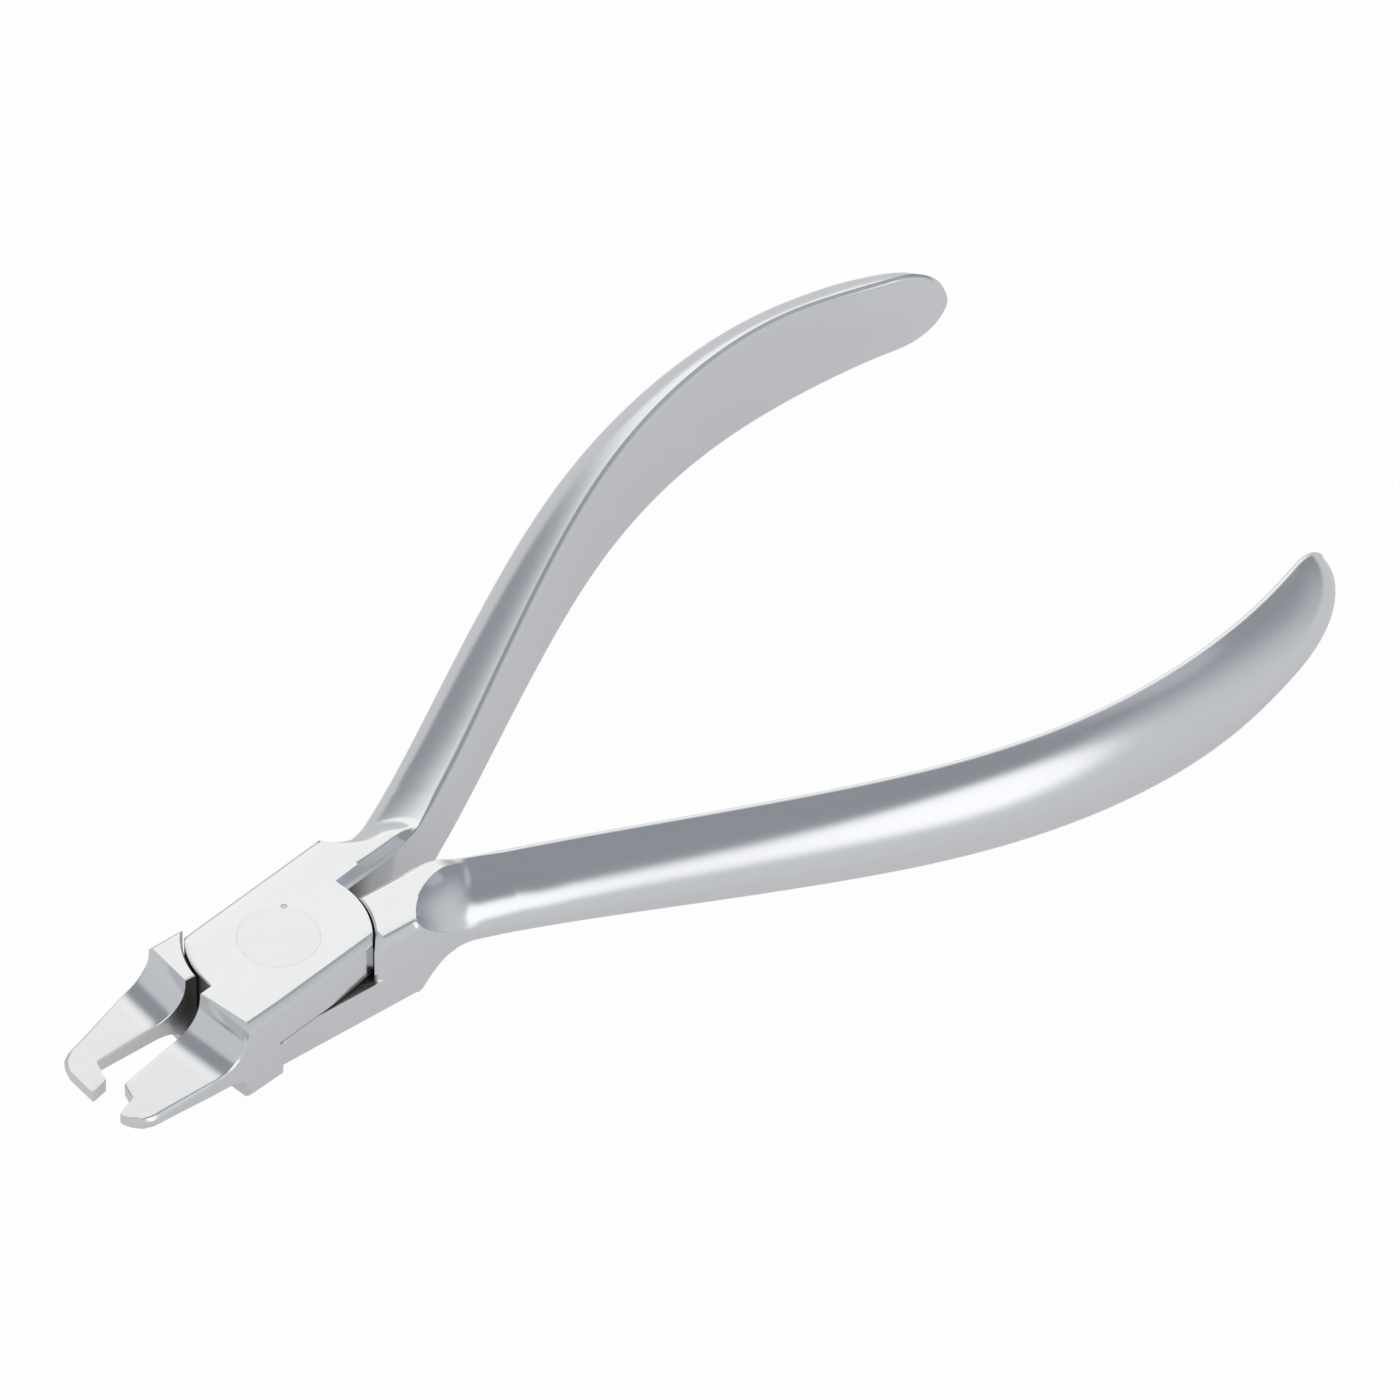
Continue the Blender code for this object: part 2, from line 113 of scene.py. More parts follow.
world = bpy.data.worlds.new("pale_room")
world.use_nodes = True
bpy.context.scene.world = world
room = world.node_tree
room.nodes.clear()
direction = add_node(room, "ShaderNodeTexCoord").outputs["Generated"]
shade = (*ROOM_SHADE, 1)
for (panel_x, panel_y), (reach_x, reach_y), panel_shade in PANELS:
    away = add_node(room, "ShaderNodeVectorMath", {0: direction, 1: (panel_x, panel_y, 0)},
                    operation="SUBTRACT")
    share = add_node(room, "ShaderNodeVectorMath", {0: away.outputs[0], 1: (1 / reach_x, 1 / reach_y, 0)},
                     operation="MULTIPLY")
    distance = add_node(room, "ShaderNodeVectorMath", {0: share.outputs[0]}, operation="LENGTH")
    outside = add_node(room, "ShaderNodeMapRange",
                       {"Value": distance.outputs["Value"], "From Min": PANEL_CORE, "From Max": PANEL_EDGE},
                       interpolation_type="SMOOTHSTEP")
    mixed = add_node(room, "ShaderNodeMix", {0: outside.outputs[0], 6: (*panel_shade, 1), 7: shade},
                     data_type="RGBA")
    shade = mixed.outputs[2]
lit = add_node(room, "ShaderNodeBackground", {"Color": shade, "Strength": 1.0})
white = add_node(room, "ShaderNodeBackground", {"Color": (1, 1, 1, 1), "Strength": 1.0})
path = add_node(room, "ShaderNodeLightPath")
seen = add_node(room, "ShaderNodeMixShader", {0: path.outputs["Is Camera Ray"], 1: lit.outputs[0],
                                              2: white.outputs[0]})
add_node(room, "ShaderNodeOutputWorld", {"Surface": seen.outputs[0]})

table_material = bpy.data.materials.new("white_table")
table_material.use_nodes = True
top = table_material.node_tree
top.nodes.clear()
painted = add_node(top, "ShaderNodeBsdfDiffuse", {"Color": (*TABLE_COLOUR, 1)})
glow = add_node(top, "ShaderNodeEmission", {"Color": (1, 1, 1, 1), "Strength": 1.0})
path = add_node(top, "ShaderNodeLightPath")
for_eye = add_node(top, "ShaderNodeMath", {0: path.outputs["Is Camera Ray"], 1: TABLE_GLOW_SEEN},
                   operation="MULTIPLY")
mirrored = add_node(top, "ShaderNodeMath",
                    {0: path.outputs["Is Glossy Ray"], 1: path.outputs["Is Transmission Ray"]},
                    operation="ADD")
glow_share = add_node(top, "ShaderNodeMath",
                      {0: mirrored.outputs[0], 1: TABLE_GLOW_MIRRORED, 2: for_eye.outputs[0]},
                      operation="MULTIPLY_ADD")
table_look = add_node(top, "ShaderNodeMixShader", {0: glow_share.outputs[0], 1: painted.outputs[0],
                                                   2: glow.outputs[0]})
add_node(top, "ShaderNodeOutputMaterial", {"Surface": table_look.outputs[0]})

table_mesh = bpy.data.meshes.new("table")
edge = TABLE_HALF_SIZE
height = cad_box[0][2]
table_mesh.from_pydata([(-edge, -edge, height), (edge, -edge, height), (edge, edge, height),
                        (-edge, edge, height)], [], [(0, 1, 2, 3)])
table_mesh.materials.append(table_material)
table = bpy.data.objects.new("table", table_mesh)
bpy.context.scene.collection.objects.link(table)


# Forged halves
# Each half is one stainless forging, from its thin jaw blade through the lap plate to the D-section handle.
# The sides are milled flat and the long edges chamfered. The handle is ground and satin-brushed lengthwise.
MM = 0.001
OPEN_ANGLE = 8.3
# Millimetres from here on, in a half's own frame: +x runs to the handle, the pivot is at x = y = 0, and z = 0
# is at mid thickness
THICKNESS = 9.75
HALF_THICKNESS = THICKNESS / 2
JOINT_HALF_WIDTH = 6.75
PLATE_RADIUS = 8.95
ARC_CLEARANCE = 0.2
LAP_CLEARANCE = 0.1
LONG_EDGE_CHAMFER = 0.85
ARC_EDGE_CHAMFER = 0.1

# The jaw: its block next to the joint, a hollow scoop down from the block, and the thin blade
BLOCK_REACH = PLATE_RADIUS + 1.45
BLOCK_HALF_WIDTH = 6.6
JAW_SCOOP_LENGTH = 4.6
JAW_SCOOP_END = BLOCK_REACH + JAW_SCOOP_LENGTH
BLADE_ROOT_HALF_THICKNESS = 0.95
BLADE_TIP_HALF_THICKNESS = 0.64
BLADE_REACH = JAW_SCOOP_END + 8.85
BLADE_OUTER_CHAMFER = 0.45
BLADE_INNER_CHAMFER = 0.1
JAW_SCOOP_CHAMFER = 0.25
JAW_SCOOP_POWER = 2.5
CHAMFER_GROWTH_POWER = 12
# Where the sides of the jaw bend, seen from above
JAW_BEND = BLOCK_REACH + 3.3

# The root: a block behind the joint, with a bevelled strip on its inner side and a round scoop outside
ROOT_INNER_OFFSET = 0.25
STRIP_WIDTH = 1.1
STRIP_SLOPE = 0.7
STRIP_RUN = 18.0
STRIP_RELEASE = 18.0
UNDER_STRIP_WIDTH = 0.5
STRIP_FLARE = 0.025
SCOOP_CENTRE = (PLATE_RADIUS + 9.85, JOINT_HALF_WIDTH + 3.35)
SCOOP_RADIUS = 8.13
ROOT_END = PLATE_RADIUS + 15.45
ROOT_LENGTH = 12.0
ROOT_TURN_LENGTH = 4.0
# The block gives way to the crown over its last bit of height, and behind the strip the crown may rise again
BLOCK_FADE_HEIGHT = 0.3
RELEASE_SLOPE = 0.4
# How softly the foot of the outer bevel goes over from the milled side to the crown's flank
FOOT_BLEND = 0.4
CROWN_START = PLATE_RADIUS + 10.6
CROWN_END = PLATE_RADIUS + 18.0

# The handle: its inner side as (x, y) points, and its half height and its width at x
HANDLE_LINE = [(13.0, 0.25), (16.6, 0.35), (20.3, 1.35), (25.0, 3.2), (36.7, 8.58), (51.3, 15.42),
               (65.7, 21.05), (79.9, 23.87), (91.9, 23.47), (100.8, 21.25), (110.5, 17.7)]
HANDLE_HALF_HEIGHT = [(9.0, 3.9), (20.0, 4.05), (36.0, 4.65), (60.0, 5.65), (81.0, 6.15), (94.0, 5.9),
                      (105.0, 4.9), (112.0, 4.9)]
HANDLE_WIDTH = [(9.0, 6.5), (26.0, 6.3), (55.0, 5.85), (85.0, 5.4), (98.0, 5.35), (113.0, 4.9)]
END_ROUND_LENGTH = 5.2
END_TAPER_LENGTH = 11.0
END_TAPER_POWER = 2.1
CROWN_FULLNESS = 0.74
HANDLE_EDGE_ROUND = 0.55
EDGE_WIDTH_SHARE = 0.4
EDGE_HEIGHT_SHARE = 0.3
SECTION_LEAN = 0.6

# How finely each stretch is made: sections along the half, and points across a section
ARC_SECTIONS = 28
JAW_SCOOP_SECTIONS = 30
BLADE_SECTIONS = 12
ROOT_START = PLATE_RADIUS + 0.1
ROOT_STEP = 0.15
HANDLE_SECTIONS = 100
SECTION_CROWDING = 2.0
SMALL_STEP = 0.001
BISECTION_STEPS = 30
EDGE_POINTS = 6
EDGE_EASING = 0.2
DIAGONAL = 0.707
FLAT_STRIP_SHARE = 0.17
STRIP_POINTS = 6
FLAT_POINTS = 8
SCOOP_POINTS = 24
LAST_SHARE = 0.999
MERGE_DISTANCE = 0.002
SHARP_ANGLE = 30.0

# Each tip row: distance back from the tip and y of the outer side, then the same of the inner side
NOTCHED_HALF = {
    "tip": [(0.05, -3.5, 0.0, -2.86), (0.35, -4.5, 0.4, -2.74), (0.9, -5.25, 1.15, -2.53),
            (1.8, -5.65, 2.0, -2.29), (2.25, -5.72, 2.25, -2.12), (2.35, -5.74, 2.35, -1.75),
            (2.7, -5.78, 2.78, -0.62), (3.0, -5.82, 3.05, -0.42)],
    "bend": (-6.7, -0.05),
    "block_inner": 0.0,
    "handle_end": 109.7,
}
HOOKED_HALF = {
    "tip": [(0.15, -1.4, 0.2, 2.56), (0.3, -2.1, 0.6, 2.52), (0.65, -2.7, 1.2, 2.34),
            (1.5, -3.25, 2.0, 2.1), (1.8, -3.36, 2.16, 1.9), (2.1, -3.45, 2.55, 0.55),
            (2.5, -3.56, 2.65, 0.05), (2.8, -3.66, 2.8, -0.33), (3.2, -3.78, 3.1, -0.36)],
    "bend": (-6.0, -0.6),
    "block_inner": -0.7,
    "handle_end": 112.3,
}


def spline(points):
    """Return a natural cubic curve through (x, y) points, as a function of x."""
    x, y = np.array(points, dtype=float).T
    step = np.diff(x)
    slope = np.diff(y) / step
    count = len(x)
    matrix = np.eye(count)
    target = np.zeros(count)
    for i in range(1, count - 1):
        matrix[i, i - 1:i + 2] = step[i - 1], 2 * (step[i - 1] + step[i]), step[i]
        target[i] = 6 * (slope[i] - slope[i - 1])
    bend = np.linalg.solve(matrix, target)

    def value(at):
        i = int(np.clip(np.searchsorted(x, at) - 1, 0, count - 2))
        left, right = at - x[i], x[i + 1] - at
        cubic = (bend[i] * right ** 3 + bend[i + 1] * left ** 3) / (6 * step[i])
        near = (y[i] / step[i] - bend[i] * step[i] / 6) * right
        far = (y[i + 1] / step[i] - bend[i + 1] * step[i] / 6) * left
        return cubic + near + far

    return value


handle_inner = spline(HANDLE_LINE)
handle_height = spline(HANDLE_HALF_HEIGHT)
handle_width = spline(HANDLE_WIDTH)


def jaw_half_height(x):
    """Return the half height of the jaw at x: the blade, then the hollow scoop up to the block."""
    if x > -JAW_SCOOP_END:
        share = min(max((-BLOCK_REACH - x) / JAW_SCOOP_LENGTH, 0.0), 1.0)
        depth = HALF_THICKNESS - BLADE_ROOT_HALF_THICKNESS
        return HALF_THICKNESS - depth * (1 - (1 - share) ** JAW_SCOOP_POWER) ** (1 / JAW_SCOOP_POWER)
    share = (-JAW_SCOOP_END - x) / (BLADE_REACH - JAW_SCOOP_END)
    return BLADE_ROOT_HALF_THICKNESS + share * (BLADE_TIP_HALF_THICKNESS - BLADE_ROOT_HALF_THICKNESS)


def rim_share(near, across):
    """Return the share of a root section, from its inner side, at which the scoop's rim crosses it."""
    low, high = 0.0, 1.0
    for _ in range(BISECTION_STEPS):
        middle = (low + high) / 2
        x, y = near + across * middle
        reach = math.hypot(min(x - SCOOP_CENTRE[0], 0), min(y - SCOOP_CENTRE[1], 0))
        low, high = (low, middle) if reach < SCOOP_RADIUS else (middle, high)
    return low


def flat_section(near, far, edges):
    """Describe a section of the jaw or lap plate, which is flat on top between its chamfers."""
    near, far = np.array(near), np.array(far)
    width = float(np.linalg.norm(far - near))
    near_edge, far_edge = (min(chamfer, EDGE_WIDTH_SHARE * width) for chamfer in edges)
    heights = [jaw_half_height(x) for x in (near[0], far[0])]
    return {"near": (*near, 0), "along": (*(far - near) / width, 0), "width": width,
            "near_edge": near_edge, "far_edge": far_edge, "near_top": heights[0], "far_top": heights[1],
            "crown_top": 0.0, "flat": 1.0, "strip": FLAT_STRIP_SHARE, "rim": 1.0, "crown": 0.0, "rise": 1.0}


def jaw_sections(form):
    """List the sections of the jaw from its tip to the block."""
    rows = [((back - BLADE_REACH, outer), (inner_back - BLADE_REACH, inner))
            for back, outer, inner_back, inner in form["tip"]]
    tip_near, tip_far = rows[-1]
    outer_bend, inner_bend = form["bend"]
    line_x = (-JAW_BEND, -BLOCK_REACH)
    xs = list(np.linspace(max(tip_near[0], tip_far[0]), -JAW_SCOOP_END, BLADE_SECTIONS + 1)[1:-1])
    near_block = 1 - (1 - np.linspace(0, 1, JAW_SCOOP_SECTIONS + 1)) ** 2
    for x in [*xs, *(near_block * JAW_SCOOP_LENGTH - JAW_SCOOP_END)]:
        outer = np.interp(x, (tip_near[0], *line_x), (tip_near[1], outer_bend, -BLOCK_HALF_WIDTH))
        inner = np.interp(x, (tip_far[0], *line_x), (tip_far[1], inner_bend, form["block_inner"]))
        rows.append(((x, float(outer)), (x, float(inner))))
    chamfers = [BLADE_OUTER_CHAMFER] * len(form["tip"])
    chamfers += list(np.linspace(BLADE_OUTER_CHAMFER, JAW_SCOOP_CHAMFER, BLADE_SECTIONS + 1)[1:-1])
    growth = near_block ** CHAMFER_GROWTH_POWER
    chamfers += list(JAW_SCOOP_CHAMFER + growth * (LONG_EDGE_CHAMFER - JAW_SCOOP_CHAMFER))
    made = [flat_section(near, far, (chamfer, BLADE_INNER_CHAMFER))
            for (near, far), chamfer in zip(rows, chamfers)]
    return [{**made[0], "rise": 0.0}] + made


def plate_sections(form):
    """List the sections of the lap plate. Its ends are arcs about the pivot, where its chamfers run out."""
    corner = math.asin(JOINT_HALF_WIDTH / PLATE_RADIUS)
    corner_x = PLATE_RADIUS * math.cos(corner)
    start = math.pi - math.asin(form["block_inner"] / PLATE_RADIUS)
    near_start = SECTION_LEAN - PLATE_RADIUS
    sections = []
    for share in np.linspace(0, 1, ARC_SECTIONS + 1):
        angle = start + share * (math.pi - corner - start)
        near_x = near_start + share * (-corner_x - near_start)
        block_share = min(max((-corner_x - near_x) / (BLOCK_REACH - corner_x), 0), 1)
        near_y = -JOINT_HALF_WIDTH + block_share * (JOINT_HALF_WIDTH - BLOCK_HALF_WIDTH)
        far = (PLATE_RADIUS * math.cos(angle), PLATE_RADIUS * math.sin(angle))
        run_out = max(far[1] - JOINT_HALF_WIDTH + LONG_EDGE_CHAMFER, ARC_EDGE_CHAMFER)
        sections.append(flat_section((near_x, near_y), far, (LONG_EDGE_CHAMFER, run_out)))
    for x in (-corner_x / 2, 0.0, corner_x / 2):
        sections.append(flat_section((x, -JOINT_HALF_WIDTH), (x, JOINT_HALF_WIDTH),
                                     (LONG_EDGE_CHAMFER, LONG_EDGE_CHAMFER)))
    rear = math.asin(ROOT_INNER_OFFSET / PLATE_RADIUS)
    for share in np.linspace(0, 1, ARC_SECTIONS + 1):
        angle = -corner + share * (rear + corner)
        near = (PLATE_RADIUS * math.cos(angle), PLATE_RADIUS * math.sin(angle))
        far = (corner_x + share * (PLATE_RADIUS - corner_x), JOINT_HALF_WIDTH)
        run_out = max(LONG_EDGE_CHAMFER - JOINT_HALF_WIDTH - near[1], ARC_EDGE_CHAMFER)
        sections.append(flat_section(near, far, (run_out, LONG_EDGE_CHAMFER)))
    return sections


def handle_sections(handle_end):
    """List the sections of the root block and the handle, to its round end."""
    root = np.arange(ROOT_START, ROOT_END, ROOT_STEP)
    spread = 1 - (1 - np.linspace(0, 1, HANDLE_SECTIONS + 1)) ** SECTION_CROWDING
    handle = ROOT_END + (handle_end - SMALL_STEP - ROOT_END) * spread
    sections = []
    for x in [*root, *handle]:
        start = HANDLE_LINE[0][0]
        inner = max(handle_inner(max(x, start)), ROOT_INNER_OFFSET)
        turned = min(max((x - start) / ROOT_TURN_LENGTH, 0), 1)
        slope = (handle_inner(x + SMALL_STEP) - handle_inner(x)) / SMALL_STEP * turned
        across = np.array((-slope, 1.0)) / math.hypot(slope, 1)
        end_share = max(x - handle_end + END_ROUND_LENGTH, 0) / END_ROUND_LENGTH
        taper_share = max(x - handle_end + END_TAPER_LENGTH, 0) / END_TAPER_LENGTH
        height = handle_height(x) * math.sqrt(1 - end_share ** 2)
        root_share = min(max((x - PLATE_RADIUS) / ROOT_LENGTH, 0), 1)
        block_width = JOINT_HALF_WIDTH - ROOT_INNER_OFFSET
        width = block_width + root_share * (handle_width(x) - block_width)
        width *= (1 - taper_share ** END_TAPER_POWER) ** (1 / END_TAPER_POWER)
        near = np.array((x, inner))
        rim = rim_share(near, across * width)
        strip_y = ROOT_INNER_OFFSET + STRIP_WIDTH + STRIP_FLARE * (x - PLATE_RADIUS)
        rounding = float(np.interp(x, (SCOOP_CENTRE[0], ROOT_END), (ARC_EDGE_CHAMFER, HANDLE_EDGE_ROUND)))
        sections.append({
            "near": (*near, 0), "along": (*across, 0), "width": width,
            "near_edge": min(rounding, EDGE_HEIGHT_SHARE * height, EDGE_WIDTH_SHARE * width),
            "far_edge": LONG_EDGE_CHAMFER, "near_top": 0.0, "far_top": 0.0, "crown_top": height,
            "flat": 0.0, "strip": min(max((strip_y - inner) / width, 0.0), rim / 2), "rim": rim,
            "crown": float(np.interp(x, (CROWN_START, CROWN_END), (0, 1))), "rise": 1.0})
    return sections + [{**sections[-1], "rise": 0.0}]


def attribute_mesh(name, rows):
    """Make a mesh of loose points that carry each row's values as attributes."""
    mesh = bpy.data.meshes.new(name)
    mesh.from_pydata([(i, 0, 0) for i in range(len(rows))], [], [])
    for key, value in rows[0].items():
        kind = "FLOAT_VECTOR" if isinstance(value, tuple) else "FLOAT"
        stored = mesh.attributes.new(key, kind, "POINT")
        flat = np.array([row[key] for row in rows], dtype=np.float32).ravel()
        stored.data.foreach_set("vector" if kind == "FLOAT_VECTOR" else "value", flat)
    return mesh


def edge_points():
    """List the points of a unit edge from its side: a bevel with eased corners, and a full round."""
    eased = [(0.0, 1.0), (0.0, 1 - EDGE_EASING), (DIAGONAL * EDGE_EASING, 1 - (1 + DIAGONAL) * EDGE_EASING)]
    corner = [tuple((1 - t) ** 2 * a + 2 * t * (1 - t) * b + t ** 2 * c for a, b, c in zip(*eased))
              for t in np.linspace(0, 1, EDGE_POINTS // 2 + 1)]
    bevel = corner + [(down, across) for across, down in reversed(corner)]
    turns = np.linspace(0, math.pi / 2, len(bevel))
    return [{"bevel_in": across, "bevel_down": down,
             "round_in": 1 - math.cos(turn), "round_down": 1 - math.sin(turn)}
            for (across, down), turn in zip(bevel, turns)]


def profile_points():
    """List the points round a section, from the middle of its inner face over the top and back below."""
    edge = edge_points()
    top_shares = [("strip_share", (i + 1) / STRIP_POINTS) for i in range(STRIP_POINTS)]
    top_shares += [("plain_share", (i + 1) / FLAT_POINTS) for i in range(FLAT_POINTS)]
    top_shares += [("scoop_share", math.sin((i + 1) / SCOOP_POINTS * math.pi / 2) ** 2)
                   for i in range(SCOOP_POINTS)]
    blank = {"bevel_in": 1.0, "bevel_down": 0.0, "round_in": 1.0, "round_down": 0.0, "strip_share": 0.0,
             "plain_share": 0.0, "scoop_share": 0.0, "outer_in": 0.0, "outer_down": 0.0, "crown_anchor": 0.0,
             "top": 0.0, "middle": 0.0, "side": 1.0}
    rows = [{**blank, **edge[0], "middle": 1.0}]
    rows += [{**blank, **point} for point in edge]
    row = {**blank, "top": 1.0}
    for i, (key, share) in enumerate(top_shares):
        row = {**row, key: share,
               "crown_anchor": math.sin((i + 1) / len(top_shares) * math.pi / 2) ** (2 * CROWN_FULLNESS)}
        rows.append(row)
    rows += [{**row, "outer_in": 1 - point["bevel_in"], "outer_down": point["bevel_down"]}
             for point in reversed(edge[:-1])]
    rows.append({**rows[-1], "middle": 1.0})
    return rows + [{**row, "side": -1.0} for row in reversed(rows[:-1])]


class Term:
    """A value inside a node tree, with which formulas are written."""

    def __init__(self, tree, socket):
        self.tree, self.socket = tree, socket

    def math(self, operation, *others):
        values = [self.socket, *(other.socket if isinstance(other, Term) else other for other in others)]
        node = add_node(self.tree, "ShaderNodeMath", enumerate(values), operation=operation)
        return Term(self.tree, node.outputs[0])

    def __add__(self, other):
        return self.math("ADD", other)

    def __sub__(self, other):
        return self.math("SUBTRACT", other)

    def __mul__(self, other):
        return self.math("MULTIPLY", other)

    def __truediv__(self, other):
        return self.math("DIVIDE", other)

    def above(self, other):
        return self.math("MAXIMUM", other)

    def below(self, other):
        return self.math("MINIMUM", other)

    def flipped(self):
        return Term(self.tree, add_node(self.tree, "ShaderNodeMath", {0: 1.0, 1: self.socket},
                                        operation="SUBTRACT").outputs[0])

    def mixed(self, other, share):
        return self * share.flipped() + share * other


def new_tree(name, kind, inputs, outputs):
    """Make a node group with named sockets, and return it with its input and output nodes."""
    tree = bpy.data.node_groups.new(name, kind)
    for in_out, sockets in (("INPUT", inputs), ("OUTPUT", outputs)):
        for label, (socket_type, default) in sockets.items():
            socket = tree.interface.new_socket(label, in_out=in_out, socket_type="NodeSocket" + socket_type)
            if default is not None:
                socket.default_value = default
    return tree, tree.nodes.new("NodeGroupInput"), tree.nodes.new("NodeGroupOutput")


# The driving sizes of the root, which are also the named inputs of both trees
ROOT_SIZES = {
    "Half Thickness": HALF_THICKNESS, "Plate Radius": PLATE_RADIUS, "Crown Fullness": CROWN_FULLNESS,
    "Scoop X": SCOOP_CENTRE[0], "Scoop Y": SCOOP_CENTRE[1], "Scoop Radius": SCOOP_RADIUS,
    "Scoop Depth": 3.5, "Scoop Reach": 3.2, "Scoop Power": 1.4, "Scoop Inner Share": 0.12,
    "Scoop Floor Slope": 0.45, "Strip Start": ROOT_INNER_OFFSET + STRIP_WIDTH, "Strip Slope": STRIP_SLOPE,
    "Strip Run": STRIP_RUN, "Strip Release": STRIP_RELEASE, "Strip Flare": STRIP_FLARE,
    "Fade Start": PLATE_RADIUS + 7.85, "Fade": 0.12, "Blend": 1.2,
}


def surface_tree():
    """Build the group that gives the half height of the root block and the handle's crown at a place."""
    sizes = {label: ("Float", value) for label, value in ROOT_SIZES.items()}
    tree, given, result = new_tree(
        "forged_surface", "GeometryNodeTree",
        {"Place": ("Vector", None), "Share": ("Float", 0.0), "Top": ("Float", 0.0), **sizes},
        {"Half Height": ("Float", 0.0)})
    size = {socket.name: Term(tree, socket) for socket in given.outputs if socket.name}
    place = add_node(tree, "ShaderNodeSeparateXYZ", {0: given.outputs["Place"]})
    x, y = Term(tree, place.outputs[0]), Term(tree, place.outputs[1])
    bulge = size["Share"].above(0.0).math("POWER", size["Crown Fullness"].math("POWER", -1.0))
    crown = size["Top"] * bulge.flipped().above(0.0).math("SQRT")
    to_x = (x - size["Scoop X"]).below(0.0)
    to_y = (y - size["Scoop Y"]).below(0.0)
    run = size["Scoop Radius"] - (to_x * to_x + to_y * to_y).math("SQRT")
    share = (run / size["Scoop Reach"]).above(0.0).below(1.0).flipped()
    hollow = size["Scoop Depth"] * share.math("POWER", size["Scoop Power"]).flipped()
    outward = ((y - ROOT_INNER_OFFSET) / (JOINT_HALF_WIDTH - ROOT_INNER_OFFSET)).above(0.0).below(1.0)
    hollow = hollow * size["Scoop Inner Share"].mixed(1.0, outward * outward)
    hollow += size["Scoop Floor Slope"] * (run - size["Scoop Reach"]).above(0.0)
    strip_y = size["Strip Start"] + size["Strip Flare"] * (x - size["Plate Radius"])
    easing = ((x - size["Plate Radius"]) / size["Strip Run"]).flipped().above(0.0)
    strip = size["Strip Slope"] * (strip_y - y).above(0.0) * easing
    behind = (x - size["Fade Start"]).above(0.0)
    block = size["Half Thickness"] - hollow.above(strip) - size["Fade"] * behind * behind
    joined = crown.math("SMOOTH_MAX", block, size["Blend"])
    shown = (block / BLOCK_FADE_HEIGHT).above(0.0).below(1.0)
    height = crown.mixed(joined, shown)
    # The strip is ground last: nothing stands above it up to its release, and from there it lets go
    free = (x - size["Strip Release"]).above(0.0) * RELEASE_SLOPE
    cap = size["Half Thickness"] - strip + free
    wire(tree, height.below(cap).socket, result.inputs[0])
    return tree


